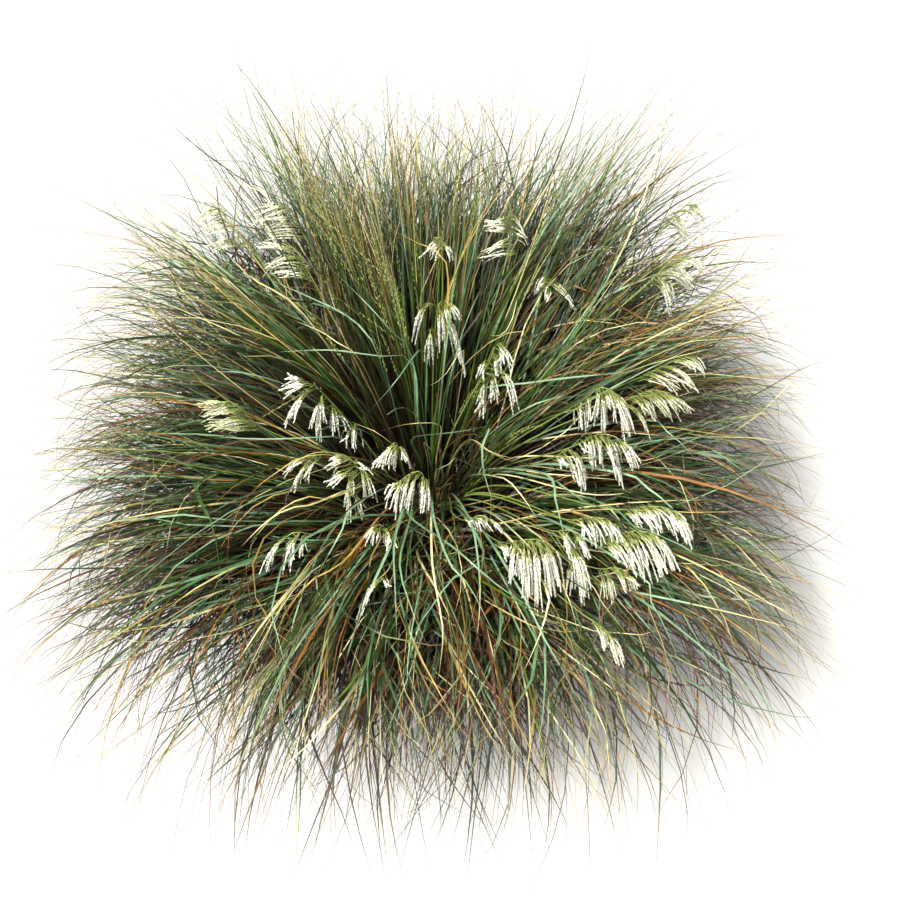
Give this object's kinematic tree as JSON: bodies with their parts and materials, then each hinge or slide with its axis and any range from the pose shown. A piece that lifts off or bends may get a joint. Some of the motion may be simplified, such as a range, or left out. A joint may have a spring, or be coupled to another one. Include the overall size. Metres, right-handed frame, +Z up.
{
  "type": "potted ornamental grass",
  "caption": "Tufted ornamental grass with arching narrow leaves and nodding flower heads, growing in soil in a plain clay pot with drain holes.",
  "frame": {"origin": "centre of the pot's underside, on the surface that the pot stands on", "axes": "+Z up through the middle of the pot, -Y towards the side that the picture was taken from"},
  "size_m": [0.7447, 0.7279, 0.5926],
  "materials": {
    "clay": "unglazed fired clay",
    "soil": "crumbly and matt",
    "shoots": "dry and fibrous",
    "leaf": "satin",
    "flower": "matt and papery"
  },
  "bodies": {
    "root": {"pot": "clay", "soil": "soil", "crown": "shoots", "leaf_tuft_outer_01": "leaf", "leaf_tuft_outer_02": "leaf", "leaf_tuft_outer_03": "leaf", "leaf_tuft_outer_04": "leaf", "leaf_tuft_outer_05": "leaf", "leaf_tuft_outer_06": "leaf", "leaf_tuft_outer_07": "leaf", "leaf_tuft_outer_08": "leaf", "leaf_tuft_outer_09": "leaf", "leaf_tuft_outer_10": "leaf", "leaf_tuft_middle_01": "leaf", "leaf_tuft_middle_02": "leaf", "leaf_tuft_middle_03": "leaf", "leaf_tuft_middle_04": "leaf", "leaf_tuft_middle_05": "leaf", "leaf_tuft_middle_06": "leaf", "leaf_tuft_middle_07": "leaf", "leaf_tuft_middle_08": "leaf", "leaf_tuft_inner_01": "leaf", "leaf_tuft_inner_02": "leaf", "leaf_tuft_inner_03": "leaf", "leaf_tuft_inner_04": "leaf", "leaf_tuft_inner_05": "leaf", "leaf_tuft_inner_06": "leaf", "flower_stem_01": "flower", "flower_stem_02": "flower", "flower_stem_03": "flower", "flower_stem_04": "flower", "flower_stem_05": "flower", "flower_stem_06": "flower", "flower_stem_07": "flower", "flower_stem_08": "flower", "flower_stem_09": "flower", "flower_stem_10": "flower", "flower_stem_11": "flower", "flower_stem_12": "flower", "flower_stem_13": "flower", "flower_stem_14": "flower", "flower_stem_15": "flower", "flower_stem_16": "flower", "flower_stem_17": "flower", "flower_stem_18": "flower", "flower_stem_19": "flower", "flower_stem_20": "flower", "flower_stem_21": "flower", "flower_stem_22": "flower", "flower_stem_23": "flower", "flower_stem_24": "flower", "flower_stem_25": "flower", "flower_stem_26": "flower", "flower_stem_27": "flower", "flower_stem_28": "flower", "flower_stem_29": "flower", "flower_stem_30": "flower", "flower_stem_31": "flower"}
  },
  "joints": []
}
